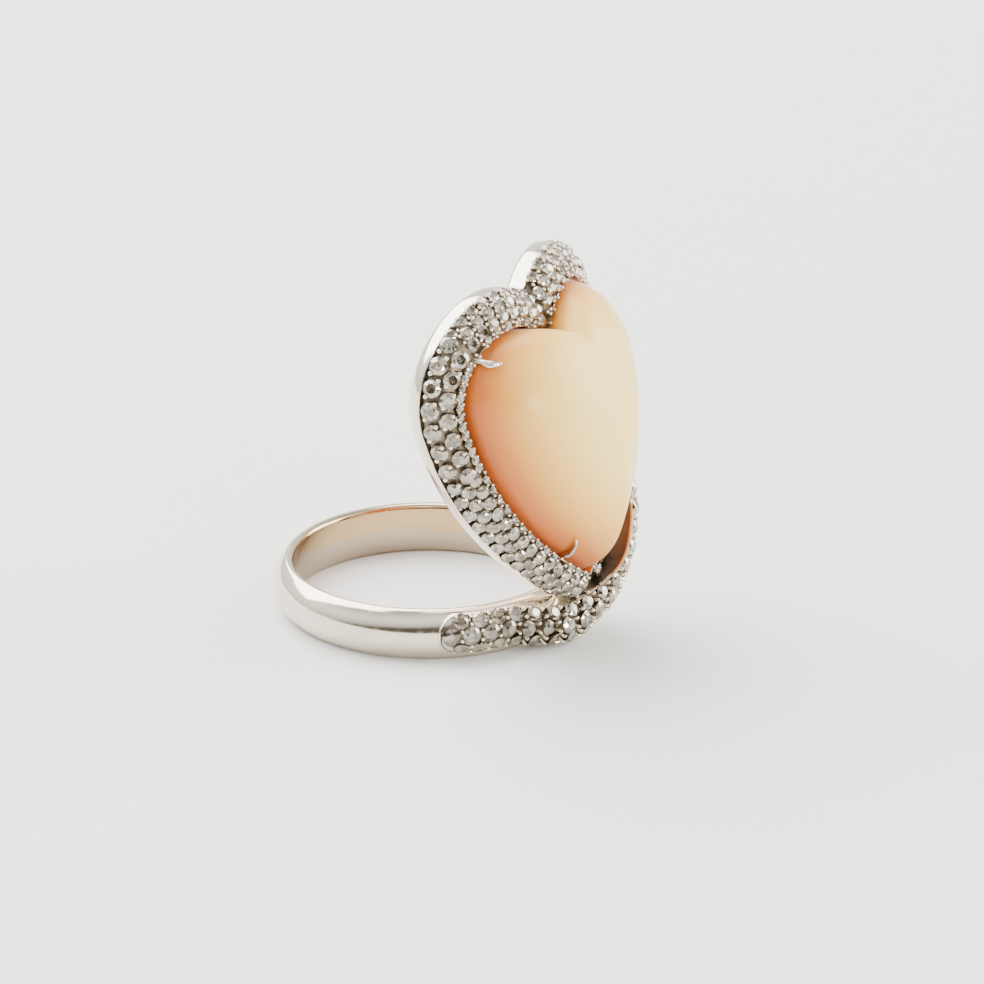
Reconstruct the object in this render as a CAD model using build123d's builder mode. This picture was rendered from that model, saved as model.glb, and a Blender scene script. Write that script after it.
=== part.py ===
"""Heart ring: a domed heart stone in a pave frame, on a plain band that lies flat.

The origin is the centre of the band's lower rim, with +Z along the finger and +X
towards the heart. All sizes are in millimetres.
"""
import os
from math import acos, asin, atan2, cos, hypot, pi, radians, sin

from build123d import *

# Band
FINGER_RADIUS = 8.6
BAND_WIDTH = 3.3
BAND_THICKNESS = 1.3
BAND_SIDE = 0.45          # straight side below the domed outside
BAND_EDGE_ROUND = 0.3     # rounded edge of the finger hole

# Heart, drawn on a sheet that bends back over the finger
HEART_LEAN = 8.0          # the lobes lean back over the finger
HEART_TURN = 6.5          # the heart turns in its own sheet, lobes towards -Y
HEART_BEND = 20.0         # radius of the bent sheet
TIP_REACH = 11.15         # tip of the stone, out from the axis of the band
TIP_HEIGHT = 4.4
LOBE_SPREAD = 3.8         # centre of each lobe, out from the heart's own axis
LOBE_HEIGHT = 14.2        # centre of each lobe, above the tip
LOBE_RADIUS = 4.0
FLANK_RADIUS = 20.3       # long arc from the lobe to the tip

# Frame section, measured out from the stone and up from the sheet
FRAME_WIDTH = 2.3
FRAME_BACK = -1.7
FRAME_EDGE = -0.45
FRAME_RIM = 0.85
FRAME_DOME = 0.45         # rise of the domed face above the line from edge to rim
LEDGE_WIDTH = 0.5
LEDGE_HEIGHT = 0.5
POCKET_DEPTH = 4.0        # the stone's pocket is open this far above and below the sheet

# Stone
STONE_GAP = 0.08
DOME_HEIGHT = 5.0
DOME_MIDDLE = 9.4         # summit of the dome, above the tip

# Ribbon from the far limb across the tip to the near shoulder
RIBBON_WIDTH = 2.7
RIBBON_CREST = 0.2        # crest of the ribbon above the band's outside
RIBBON_SINK = 0.5         # back of the ribbon inside the band
RIBBON_MARGIN = 0.15      # plain metal above the ribbon on the band
RIBBON_BAND_EDGE = -0.35  # edges of the ribbon on the band, below the band's outside
FLATTEN_FROM = 2.0        # past this place across, the ribbon's section starts to flatten
FLATTEN_LENGTH = 4.4
FLATTEN_EDGE = 0.35       # how far the edge rises, the rim drops and the dome rises
FLATTEN_RIM = 0.95
FLATTEN_DOME = 0.2
RIBBON_STEPS = 3          # ruled sections between two rows
RIBBON_LEDGE = 0.12
RIBBON_FINE = 40          # steps between two rows when the ribbon is measured

# Pave
PAVE_RADIUS = 0.52
PAVE_PITCH = 1.2
PAVE_CROWN = 0.2
PAVE_GIRDLE = 0.08
PAVE_PAVILION = 0.1
PAVE_TABLE = 0.6          # table as a share of the stone
PAVE_BASE = 0.55          # underside as a share of the stone
PAVE_LIFT = 0.05          # clearance under each small stone
RIBBON_LIFT = 0.23        # the same on the ribbon, whose face is more domed
PAVE_SPACE = 0.12         # least space between two small stones
FACETS = 8

# Claws
CLAW_RADIUS = 0.27
CLAW_TIP_RADIUS = 0.13
CLAW_LIFT = 0.14          # clearance over the dome
CLAW_START = 0.2          # starts this far out from the rim
CLAW_ROOT = 0.1           # place of its root for the small stones

BAND_RADIUS = FINGER_RADIUS + BAND_THICKNESS


def sheet_directions():
    """Across, up and out directions of the heart's sheet at its own axis."""
    lean, turn = radians(HEART_LEAN), radians(HEART_TURN)
    out = Vector(cos(lean), 0, sin(lean))
    up = Vector(-sin(lean), 0, cos(lean))
    across = Vector(0, 1, 0)
    return across * cos(turn) + up * sin(turn), up * cos(turn) - across * sin(turn), out


ACROSS, UP, OUT = sheet_directions()
TIP = Vector(TIP_REACH, 0, TIP_HEIGHT)
heart_plane = Plane(origin=TIP, x_dir=ACROSS, z_dir=OUT)
mirror_plane = Plane(origin=TIP, x_dir=UP, z_dir=ACROSS)
BEND_END = 5.0            # the cylinder of the bend runs this far past the heart
bend_plane = Plane(origin=TIP - OUT * HEART_BEND - UP * BEND_END, x_dir=ACROSS, z_dir=UP)
BEND_LENGTH = LOBE_HEIGHT + LOBE_RADIUS + 2 * BEND_END


def on_sheet(u, v, height=0.0):
    """A point of the bent sheet, u across and v up, raised by height."""
    angle = asin(u / HEART_BEND)
    radius = HEART_BEND + height
    return TIP + ACROSS * (radius * sin(angle)) + UP * v + OUT * (radius * cos(angle) - HEART_BEND)


def sheet_frame(u, v, du, dv):
    """Plane across a limb: x points along (du, dv) on the sheet and y out of it."""
    angle = asin(u / HEART_BEND)
    bent_across = ACROSS * cos(angle) - OUT * sin(angle)
    bent_out = OUT * cos(angle) + ACROSS * sin(angle)
    outward = bent_across * du + UP * dv
    return Plane(origin=on_sheet(u, v), x_dir=outward, z_dir=outward.cross(bent_out))


class HeartArcs:
    """Right half of a heart: a lobe arc, then a flank arc down to the tip at (0, 0)."""

    def __init__(self, spread, height, lobe, flank):
        self.spread, self.height, self.lobe, self.flank = spread, height, lobe, flank
        self.lift = 0.0
        # The flank arc is tangent to the lobe and runs through the tip
        reach = flank - lobe
        distance = hypot(spread, height)
        share = (distance**2 + reach**2 - flank**2) / (2 * distance * reach)
        self.join = atan2(height, spread) - acos(share)
        self.flank_u = spread - reach * cos(self.join)
        self.flank_v = height - reach * sin(self.join)

    def cleft_angle(self, offset=0.0):
        """Angle about the lobe centre at which the offset arc meets the heart's axis."""
        return pi - acos(self.spread / (self.lobe + offset))

    def tip_angle(self, offset=0.0):
        """Angle about the flank centre at which the offset arc meets the heart's axis."""
        return -acos(-self.flank_u / (self.flank + offset))

    def lobe_point(self, angle, offset=0.0):
        radius = self.lobe + offset
        return self.spread + radius * cos(angle), self.lift + self.height + radius * sin(angle)

    def flank_point(self, angle, offset=0.0):
        radius = self.flank + offset
        return self.flank_u + radius * cos(angle), self.lift + self.flank_v + radius * sin(angle)

    def stations(self, lobe_steps, flank_steps, past_cleft, past_tip):
        """Points and outward directions from past the cleft to past the tip."""
        rows = []
        first, last = self.cleft_angle() + past_cleft, self.tip_angle(FRAME_WIDTH) - past_tip
        for step in range(lobe_steps):
            angle = first + (self.join - first) * step / lobe_steps
            rows.append((*self.lobe_point(angle), cos(angle), sin(angle)))
        for step in range(flank_steps + 1):
            angle = self.join + (last - self.join) * step / flank_steps
            rows.append((*self.flank_point(angle), cos(angle), sin(angle)))
        return rows

    def outline_points(self, offset=0.0):
        """Cleft, crown, join, belly and tip of the right half."""
        return (
            self.lobe_point(self.cleft_angle(offset), offset),
            self.lobe_point((self.cleft_angle(offset) + self.join) / 2, offset),
            self.lobe_point(self.join, offset),
            self.flank_point((self.join + self.tip_angle(offset)) / 2, offset),
            self.flank_point(self.tip_angle(offset), offset),
        )

    def shrunk(self, size, fill):
        """The heart scaled about the dome's summit, its cleft filled by a share."""
        spread = self.spread * size
        width = (self.spread + self.lobe) * size
        smaller = HeartArcs(spread * (1 - fill), self.height * size, width - spread * (1 - fill),
                            self.flank * size)
        smaller.lift = DOME_MIDDLE * (1 - size)
        return smaller


def draw_heart(points):
    """Four arcs of a whole heart, drawn in the builder around the call."""
    cleft, crown, join, belly, tip = points
    for side in (1, -1):
        ThreePointArc((0, cleft[1]), (side * crown[0], crown[1]), (side * join[0], join[1]))
        ThreePointArc((side * join[0], join[1]), (side * belly[0], belly[1]), (0, tip[1]))


heart = HeartArcs(LOBE_SPREAD, LOBE_HEIGHT, LOBE_RADIUS, FLANK_RADIUS)


def dome_face(width, edge, rim, rise):
    """Start, middle and end of the arc over a limb, from its outer edge to its rim."""
    lean = atan2(rim - edge, width)
    middle = (width / 2 + rise * sin(lean), (edge + rim) / 2 + rise * cos(lean))
    return (width, edge), middle, (0, rim)


def limb_section(width, back, edge, rim, rise, ledge):
    """Closed section of a limb, inside a BuildSketch: x out from the stone, y outward."""
    outer, middle, inner = dome_face(width, edge, rim, rise)
    with BuildLine() as section:
        Polyline(inner, (0, back + LEDGE_HEIGHT), (-ledge, back + LEDGE_HEIGHT), (-ledge, back),
                 (width, back), outer)
        ThreePointArc(outer, middle, inner)
    make_face(section.edges())


# Ribbon over the far flank and the tip: place on the sheet, lift, heading of the outward
# direction, depth of the back, and width
RIBBON_ON_SHEET = (
    # u, v, lift, heading, back, width
    (6.60, 8.40, -0.15, -22.0, -0.9, 2.1),
    (5.60, 5.40, 1.00, -32.0, -1.2, 2.2),
    (4.20, 2.50, 1.45, -43.0, -1.6, 2.3),
    (2.20, -0.10, 1.15, -60.0, -2.2, 2.5),
    (-0.20, -1.15, 0.25, -78.0, -1.8, 2.6),
    (-2.40, -1.25, -0.55, -87.0, -1.2, 2.6),
)
# Angles round the band, from +X, of the sections that follow its outside
RIBBON_ON_BAND = (-27.0, -40.0, -55.5)


def ribbon_sections():
    """Plane, width, back, edge, rim and rise of each section along the ribbon."""
    rows = []
    for u, v, lift, heading, back, width in RIBBON_ON_SHEET:
        frame = sheet_frame(u, v, cos(radians(heading)), sin(radians(heading)))
        raised = Plane(origin=frame.origin + frame.y_dir * lift, x_dir=frame.x_dir, z_dir=frame.z_dir)
        share = max(0.0, min(1.0, (FLATTEN_FROM - u) / FLATTEN_LENGTH))
        edge = FRAME_EDGE + share * FLATTEN_EDGE
        rim = FRAME_RIM - share * FLATTEN_RIM
        rows.append((raised, width, back, edge, rim, FRAME_DOME + share * FLATTEN_DOME))
    for degrees_round in RIBBON_ON_BAND:
        turn = radians(degrees_round)
        radial = Vector(cos(turn), sin(turn), 0)
        down = Vector(0, 0, -1)
        top = BAND_WIDTH - RIBBON_MARGIN
        frame = Plane(origin=radial * BAND_RADIUS + Vector(0, 0, top), x_dir=down, z_dir=down.cross(radial))
        rows.append((frame, RIBBON_WIDTH, -RIBBON_SINK, RIBBON_BAND_EDGE, RIBBON_BAND_EDGE,
                     RIBBON_CREST - RIBBON_BAND_EDGE))
    return rows


def lerp(a, b, share):
    return a + (b - a) * share


def curve(p0, p1, p2, p3, share):
    """Smooth curve through p1 and p2."""
    square, cube = share * share, share**3
    return (p1 * 2 + (p2 - p0) * share + (p0 * 2 - p1 * 5 + p2 * 4 - p3) * square
            + (p1 * 3 - p0 - p2 * 3 + p3) * cube) * 0.5


def ribbon_at(rows, place):
    """Interpolated section at a place counted in sections."""
    index = min(int(place), len(rows) - 2)
    share = place - index
    before, first, last = rows[max(index - 1, 0)], rows[index], rows[index + 1]
    after = rows[min(index + 2, len(rows) - 1)]
    origin = curve(before[0].origin, first[0].origin, last[0].origin, after[0].origin, share)
    x_dir = lerp(first[0].x_dir, last[0].x_dir, share).normalized()
    y_dir = lerp(first[0].y_dir, last[0].y_dir, share).normalized()
    values = [lerp(one, two, share) for one, two in zip(first[1:], last[1:])]
    return (Plane(origin=origin, x_dir=x_dir, z_dir=x_dir.cross(y_dir)), *values)


def face_point(width, edge, rim, rise, share):
    """Point and direction outward of the domed face, at a share of its arc."""
    outer, middle, inner = dome_face(width, edge, rim, rise)
    chord = hypot(width, rim - edge)
    radius = chord**2 / (8 * rise) + rise / 2
    lean = atan2(rim - edge, width)
    normal = (sin(lean), cos(lean))
    centre = (middle[0] - normal[0] * radius, middle[1] - normal[1] * radius)
    half = asin(chord / 2 / radius)
    angle = pi / 2 - lean - half + 2 * half * share
    return (centre[0] + radius * cos(angle), centre[1] + radius * sin(angle)), (cos(angle), sin(angle))


RIBBON = ribbon_sections()

# Layers of the dome: height above the flat sheet, size, and how far the cleft is filled
DOME_LAYERS = (
    (-0.76, 1.0, 0.0),
    (-0.44, 1.0, 0.0),
    (-0.16, 0.997, 0.0),
    (0.0, 0.986, 0.005),
    (0.12, 0.965, 0.02),
    (0.42, 0.87, 0.12),
    (0.68, 0.70, 0.30),
    (0.88, 0.46, 0.55),
    (0.985, 0.18, 0.8),
)

# Claws: which arc, the angle about its centre, near (-1) or far (1) side, how far the tip
# reaches in over the stone, and how far it turns aside
CLAW_PLACES = (
    ("lobe", 50.0, -1, 0.75, 0.4),
    ("lobe", 2.0, 1, 0.7, 0.0),
    ("flank", -41.0, -1, 0.85, 0.9),
    ("flank", -38.0, 1, 0.8, 0.0),
)
CLAW_MIDDLE = 0.4         # share of the reach and of the taper at the middle section


DOME_FINE = 2             # rings of the stone for each row of its layers


def dome_layer(place):
    """Height, size and filled cleft at a place counted in rows of the layers."""
    index = min(int(place), len(DOME_LAYERS) - 2)
    before = DOME_LAYERS[max(index - 1, 0)]
    after = DOME_LAYERS[min(index + 2, len(DOME_LAYERS) - 1)]
    values = zip(before, DOME_LAYERS[index], DOME_LAYERS[index + 1], after)
    return [curve(a, b, c, d, place - index) for a, b, c, d in values]


def dome_level(u, v, edge):
    """Height of the dome over the bent sheet at (u, v), inward of a point of the outline."""
    size = hypot(u, v - DOME_MIDDLE) / hypot(edge[0], edge[1] - DOME_MIDDLE)
    level = DOME_LAYERS[-1][0]
    for (low, large, _), (high, small, _) in zip(DOME_LAYERS[1:], DOME_LAYERS[2:]):
        if small <= size <= large:
            level = low + (high - low) * (large - size) / (large - small)
    return level * DOME_HEIGHT + u * u / 2 / HEART_BEND


def claw_planes(arc, angle, side, reach, aside):
    """Planes and radii of one claw, from the rim up over the edge of the dome."""
    turn = radians(angle)
    point = heart.lobe_point if arc == "lobe" else heart.flank_point
    root_u, root_v = point(turn, CLAW_START)
    places = [(on_sheet(side * root_u, root_v, FRAME_RIM / 3), CLAW_RADIUS)]
    for share in (CLAW_MIDDLE, 1.0):
        radius = lerp(CLAW_RADIUS, CLAW_TIP_RADIUS, share)
        u, v = point(turn, -reach * share)
        u -= sin(turn) * aside * share**2
        v += cos(turn) * aside * share**2
        height = dome_level(u, v, point(turn)) + radius + CLAW_LIFT
        places.append((on_sheet(side * u, v, height), radius))
    for index, (place, radius) in enumerate(places):
        before = places[max(index - 1, 0)][0]
        after = places[min(index + 1, len(places) - 1)][0]
        yield Plane(origin=place, z_dir=after - before), radius


# Pave rows: share of the domed face, from its outer edge to its rim
PAVE_ROWS = (0.24, 0.66)
SHOULDER_ROWS = (0.16, 0.5, 0.84)
MIDDLE_ROW_START = 3.4    # the ribbon is wide enough for a third row from here
FAR_LIMB_END = -20.0      # flank angle where the ribbon's stones take over
NEAR_LIMB_END = -50.0     # flank angle where the ribbon crosses the near limb
RIBBON_START = 1.0        # places of the ribbon's first and last stones, in rows
RIBBON_END = 7.85
LOBE_STATIONS, FLANK_STATIONS = 5, 6
PAST_MITRE = radians(6)   # the frame is built past its mitres, then cut


def stone_place(frame, section, share, lift=PAVE_LIFT):
    """Plane under one small stone, seated on the domed face of a section."""
    (x, y), (normal_x, normal_y) = face_point(*section, share)
    normal = frame.x_dir * normal_x + frame.y_dir * normal_y
    origin = frame.origin + frame.x_dir * x + frame.y_dir * y + normal * lift
    return Plane(origin=origin, x_dir=frame.z_dir, z_dir=normal)


def near_claw(spot, side):
    """Whether a small stone would meet the root of a claw."""
    for arc, angle, claw_side, _, _ in CLAW_PLACES:
        point = heart.lobe_point if arc == "lobe" else heart.flank_point
        root = point(radians(angle), CLAW_ROOT)
        distance = hypot(spot[0] - root[0], spot[1] - root[1])
        if claw_side == side and distance < PAVE_RADIUS + CLAW_RADIUS + PAVE_SPACE / 2:
            return True
    return False


def limb_places():
    """Small stones along both limbs of the heart."""
    section = (FRAME_WIDTH, FRAME_EDGE, FRAME_RIM, FRAME_DOME)
    for share in PAVE_ROWS:
        (x, _), _ = face_point(*section, share)
        arcs = (
            (heart.lobe_point, heart.lobe + x, heart.cleft_angle(x), heart.join),
            (heart.flank_point, heart.flank + x, heart.join, heart.tip_angle(x)),
        )
        lengths = [radius * (first - last) for _, radius, first, last in arcs]
        count = int(sum(lengths) / PAVE_PITCH)
        pitch = sum(lengths) / count
        for index in range(count):
            along = pitch * (index + 0.5)
            arc = 0 if along < lengths[0] else 1
            _, radius, first, _ = arcs[arc]
            angle = first - (along - (lengths[0] if arc else 0)) / radius
            point = heart.flank_point if arc else heart.lobe_point
            u, v = point(angle)
            if point(angle, x)[0] < PAVE_RADIUS + PAVE_SPACE / 2:
                continue
            for side in (1, -1):
                end = FAR_LIMB_END if side > 0 else NEAR_LIMB_END
                if arc and angle < radians(end) or near_claw(point(angle, x), side):
                    continue
                frame = sheet_frame(side * u, v, side * cos(angle), sin(angle))
                yield stone_place(frame, section, share)


def ribbon_places():
    """Small stones along the ribbon, evenly spaced in each row."""
    for row, share in enumerate(SHOULDER_ROWS):
        length, last, wanted = 0.0, None, PAVE_PITCH * (0.5 + 0.5 * (row % 2))
        first = MIDDLE_ROW_START if row == 1 else RIBBON_START
        for step in range(int(first * RIBBON_FINE), int(RIBBON_END * RIBBON_FINE) + 1):
            frame, width, _, edge, rim, rise = ribbon_at(RIBBON, step / RIBBON_FINE)
            place = stone_place(frame, (width, edge, rim, rise), share, RIBBON_LIFT)
            if last is not None:
                length += (place.origin - last).length
            last = place.origin
            if length >= wanted:
                wanted += PAVE_PITCH
                yield place


with BuildPart() as heart_frame:
    for u, v, du, dv in heart.stations(LOBE_STATIONS, FLANK_STATIONS, PAST_MITRE, PAST_MITRE):
        with BuildSketch(sheet_frame(u, v, du, dv)):
            limb_section(FRAME_WIDTH, FRAME_BACK, FRAME_EDGE, FRAME_RIM, FRAME_DOME, LEDGE_WIDTH)
    loft()
    split(bisect_by=mirror_plane, keep=Keep.TOP)
    mirror(about=mirror_plane)

with BuildPart() as pocket:
    with BuildSketch(heart_plane.offset(-POCKET_DEPTH)):
        with BuildLine():
            draw_heart(heart.outline_points())
        make_face()
    extrude(amount=2 * POCKET_DEPTH)
    with BuildSketch(bend_plane):
        Circle(HEART_BEND + FRAME_BACK + LEDGE_HEIGHT)
    extrude(amount=BEND_LENGTH, mode=Mode.SUBTRACT)

with BuildPart() as setting:
    for step in range(RIBBON_STEPS * (len(RIBBON) - 1) + 1):
        frame, width, back, edge, rim, rise = ribbon_at(RIBBON, step / RIBBON_STEPS)
        with BuildSketch(frame):
            limb_section(width, back, edge, rim, rise, RIBBON_LEDGE)
    loft(ruled=True)
    add(heart_frame.part)
    add(pocket.part, mode=Mode.SUBTRACT)
    with BuildSketch(Plane.XZ):
        with BuildLine():
            inner_low = (FINGER_RADIUS, BAND_EDGE_ROUND)
            inner_high = (FINGER_RADIUS, BAND_WIDTH - BAND_EDGE_ROUND)
            flat_low = (FINGER_RADIUS + BAND_EDGE_ROUND, 0)
            flat_high = (FINGER_RADIUS + BAND_EDGE_ROUND, BAND_WIDTH)
            side_low = (FINGER_RADIUS + BAND_SIDE, 0)
            side_high = (FINGER_RADIUS + BAND_SIDE, BAND_WIDTH)
            Line(inner_low, inner_high)
            RadiusArc(inner_high, flat_high, BAND_EDGE_ROUND)
            Line(flat_high, side_high)
            ThreePointArc(side_high, (BAND_RADIUS, BAND_WIDTH / 2), side_low)
            Line(side_low, flat_low)
            RadiusArc(flat_low, inner_low, BAND_EDGE_ROUND)
        make_face()
    revolve(axis=Axis.Z)

    for claw in CLAW_PLACES:
        for frame, radius in claw_planes(*claw):
            with BuildSketch(frame):
                Circle(radius)
        loft()
setting.part.label = "setting"

with BuildPart() as heart_stone:
    rings = [2 + ring / DOME_FINE for ring in range((len(DOME_LAYERS) - 3) * DOME_FINE + 1)]
    for place in [0, 1] + rings:
        height, size, fill = dome_layer(place)
        with BuildSketch(heart_plane.offset(height * DOME_HEIGHT)):
            with BuildLine():
                draw_heart(heart.shrunk(size, fill).outline_points(-STONE_GAP))
            make_face()
    loft(ruled=True)
    with BuildSketch(bend_plane):
        Circle(HEART_BEND + FRAME_BACK + LEDGE_HEIGHT + STONE_GAP)
    extrude(amount=BEND_LENGTH, mode=Mode.SUBTRACT)
heart_stone.part.label = "heart_stone"

with BuildPart() as small_stone:
    with BuildSketch():
        RegularPolygon(PAVE_RADIUS * PAVE_BASE, FACETS)
    with BuildSketch(Plane.XY.offset(PAVE_PAVILION)):
        RegularPolygon(PAVE_RADIUS, FACETS)
    loft(ruled=True)
    girdle = faces().sort_by(Axis.Z)[-1]
    extrude(girdle, amount=PAVE_GIRDLE)
    with BuildSketch(Plane.XY.offset(PAVE_PAVILION + PAVE_GIRDLE)):
        RegularPolygon(PAVE_RADIUS, FACETS)
    with BuildSketch(Plane.XY.offset(PAVE_PAVILION + PAVE_GIRDLE + PAVE_CROWN)):
        RegularPolygon(PAVE_RADIUS * PAVE_TABLE, FACETS)
    loft(ruled=True)

limb_list = list(limb_places())
ribbon_list = list(ribbon_places())

with BuildPart() as heart_pave:
    with Locations(*limb_list):
        add(small_stone.part)
heart_pave.part.label = "heart_pave"

with BuildPart() as ribbon_pave:
    with Locations(*ribbon_list):
        add(small_stone.part)
ribbon_pave.part.label = "ribbon_pave"

print("small stones", len(limb_list), len(ribbon_list))
print("setting", setting.part.volume, "heart_stone", heart_stone.part.volume)
os.makedirs("parts", exist_ok=True)
export_step(setting.part, "parts/setting.step")
export_step(heart_stone.part, "parts/heart_stone.step")
export_step(heart_pave.part, "parts/heart_pave.step")
export_step(ribbon_pave.part, "parts/ribbon_pave.step")
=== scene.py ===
"""Heart ring: looks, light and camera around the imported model. Lengths are in millimetres
until a mesh is made, and then in metres."""
from math import acos, asin, atan2, cos, hypot, pi, radians, sin, sqrt

import bmesh
import bpy
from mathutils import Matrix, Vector

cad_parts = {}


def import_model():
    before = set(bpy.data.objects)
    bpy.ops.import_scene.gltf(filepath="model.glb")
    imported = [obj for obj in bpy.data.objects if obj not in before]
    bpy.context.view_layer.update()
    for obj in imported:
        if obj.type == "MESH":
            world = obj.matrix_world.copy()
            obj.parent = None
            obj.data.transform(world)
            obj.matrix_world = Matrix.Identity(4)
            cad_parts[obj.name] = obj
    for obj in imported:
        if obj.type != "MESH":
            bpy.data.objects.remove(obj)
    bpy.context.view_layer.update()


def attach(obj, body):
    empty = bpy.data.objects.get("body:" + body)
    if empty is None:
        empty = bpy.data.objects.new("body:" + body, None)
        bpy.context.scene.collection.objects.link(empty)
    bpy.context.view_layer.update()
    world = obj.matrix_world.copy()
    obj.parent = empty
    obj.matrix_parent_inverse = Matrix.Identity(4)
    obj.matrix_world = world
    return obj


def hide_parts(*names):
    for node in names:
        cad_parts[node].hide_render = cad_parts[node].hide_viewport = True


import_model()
MM = 0.001

# ---- Sizes, the same as the model's --------------------------------------------------
FINGER_RADIUS, BAND_WIDTH, BAND_THICKNESS = 8.6, 3.3, 1.3
BAND_SIDE, BAND_EDGE_ROUND = 0.45, 0.3
BAND_RADIUS = FINGER_RADIUS + BAND_THICKNESS
HEART_LEAN, HEART_TURN, HEART_BEND = 8.0, 6.5, 20.0
TIP_REACH, TIP_HEIGHT = 11.15, 4.4
LOBE_SPREAD, LOBE_HEIGHT, LOBE_RADIUS, FLANK_RADIUS = 3.8, 14.2, 4.0, 20.3
FRAME_WIDTH, FRAME_BACK, FRAME_EDGE, FRAME_RIM, FRAME_DOME = 2.3, -1.7, -0.45, 0.85, 0.45
LEDGE_HEIGHT = 0.5
STONE_GAP, DOME_HEIGHT, DOME_MIDDLE = 0.08, 5.0, 9.4
RIBBON_WIDTH, RIBBON_CREST, RIBBON_SINK, RIBBON_MARGIN = 2.7, 0.2, 0.5, 0.15
CLAW_LIFT = 0.03
NIP, NIP_START, NIP_SPAN = 0.65, radians(-22.0), radians(33.0)   # narrower lower end of the limb

LEAN, TURN = radians(HEART_LEAN), radians(HEART_TURN)
OUT = Vector((cos(LEAN), 0, sin(LEAN)))
LEAN_UP = Vector((-sin(LEAN), 0, cos(LEAN)))
Y_AXIS = Vector((0, 1, 0))
ACROSS = Y_AXIS * cos(TURN) + LEAN_UP * sin(TURN)
UP = LEAN_UP * cos(TURN) - Y_AXIS * sin(TURN)
TIP = Vector((TIP_REACH, 0, TIP_HEIGHT))


def on_sheet(u, v, height=0.0):
    """A point of the bent sheet of the heart, raised by height."""
    angle = asin(u / HEART_BEND)
    radius = HEART_BEND + height
    return TIP + ACROSS * (radius * sin(angle)) + UP * v + OUT * (radius * cos(angle) - HEART_BEND)


def sheet_axes(u, du, dv):
    """Outward direction along the sheet, and the sheet's own normal."""
    angle = asin(u / HEART_BEND)
    across = ACROSS * cos(angle) - OUT * sin(angle)
    normal = OUT * cos(angle) + ACROSS * sin(angle)
    return across * du + UP * dv, normal


def nip(offset, angle):
    """How much narrower the limb gets at its lower end."""
    share = max(0.0, min(1.0, (NIP_START - angle) / NIP_SPAN))
    return NIP * share**1.2 * (offset / FRAME_WIDTH)**2 if offset > 0 else 0.0


class HeartArcs:
    """Right half of a heart: a lobe arc, then a flank arc down to the tip."""

    def __init__(self, spread, height, lobe, flank, lift=0.0):
        self.spread, self.height, self.lobe, self.flank, self.lift = spread, height, lobe, flank, lift
        reach = flank - lobe
        distance = hypot(spread, height)
        share = (distance**2 + reach**2 - flank**2) / (2 * distance * reach)
        self.join = atan2(height, spread) - acos(share)
        self.flank_u = spread - reach * cos(self.join)
        self.flank_v = height - reach * sin(self.join)

    def cleft_angle(self, offset=0.0):
        return pi - acos(min(1.0, self.spread / (self.lobe + offset)))

    def tip_angle(self, offset=0.0):
        return -acos(-self.flank_u / (self.flank + offset))

    def point(self, arc, angle, offset=0.0):
        if arc == "lobe":
            radius = self.lobe + offset
            return self.spread + radius * cos(angle), self.lift + self.height + radius * sin(angle)
        radius = self.flank + offset
        return self.flank_u + radius * cos(angle), self.lift + self.flank_v + radius * sin(angle)

    def lane(self, offset, lobe_steps=30, flank_steps=44):
        """Points from the cleft to the tip at one offset from the stone."""
        rows = []
        first, last = self.cleft_angle(offset), self.tip_angle(offset - nip(offset, -1.0))
        for step in range(lobe_steps):
            angle = first + (self.join - first) * step / lobe_steps
            rows.append(self.point("lobe", angle, offset))
        for step in range(flank_steps + 1):
            angle = self.join + (last - self.join) * step / flank_steps
            rows.append(self.point("flank", angle, offset - nip(offset, angle)))
        rows[0], rows[-1] = (0.0, rows[0][1]), (0.0, rows[-1][1])
        return rows

    def shrunk(self, size, fill):
        """The heart scaled about the dome's summit, its cleft filled by a share."""
        spread = self.spread * size
        width = (self.spread + self.lobe) * size
        return HeartArcs(spread * (1 - fill), self.height * size, width - spread * (1 - fill),
                         self.flank * size, DOME_MIDDLE * (1 - size))


heart = HeartArcs(LOBE_SPREAD, LOBE_HEIGHT, LOBE_RADIUS, FLANK_RADIUS)


# ---- Mesh helpers -------------------------------------------------------------------
def make_object(name, verts, faces, material, sharp=35.0, weld=0.0):
    """One mesh object in metres, smooth except over sharp edges."""
    mesh = bpy.data.meshes.new(name)
    mesh.from_pydata([tuple(Vector(v) * MM) for v in verts], [], faces)
    work = bmesh.new()
    work.from_mesh(mesh)
    if weld:
        bmesh.ops.remove_doubles(work, verts=work.verts, dist=weld * MM)
        bmesh.ops.dissolve_degenerate(work, edges=work.edges, dist=weld * MM / 4)
    bmesh.ops.recalc_face_normals(work, faces=work.faces)
    for face in work.faces:
        face.smooth = sharp > 0
    for edge in work.edges:
        if len(edge.link_faces) == 2 and edge.calc_face_angle(0.0) > radians(sharp):
            edge.smooth = False
    work.to_mesh(mesh)
    work.free()
    piece = bpy.data.objects.new(name, mesh)
    bpy.context.scene.collection.objects.link(piece)
    mesh.materials.append(material)
    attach(piece, "root")
    return piece


def strip(verts, faces, lanes, closed=True):
    """Quads between neighbouring lanes of equal length."""
    start = len(verts)
    count = len(lanes[0])
    for lane in lanes:
        verts.extend(lane)
    total = len(lanes) if closed else len(lanes) - 1
    for row in range(total):
        after = (row + 1) % len(lanes)
        for step in range(count - 1):
            faces.append((start + row * count + step, start + row * count + step + 1,
                          start + after * count + step + 1, start + after * count + step))


def lerp(a, b, share):
    return a + (b - a) * share


def curve(p0, p1, p2, p3, share):
    """Smooth curve through p1 and p2."""
    square, cube = share * share, share**3
    return (p1 * 2 + (p2 - p0) * share + (p0 * 2 - p1 * 5 + p2 * 4 - p3) * square
            + (p1 * 3 - p0 - p2 * 3 + p3) * cube) * 0.5


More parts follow.
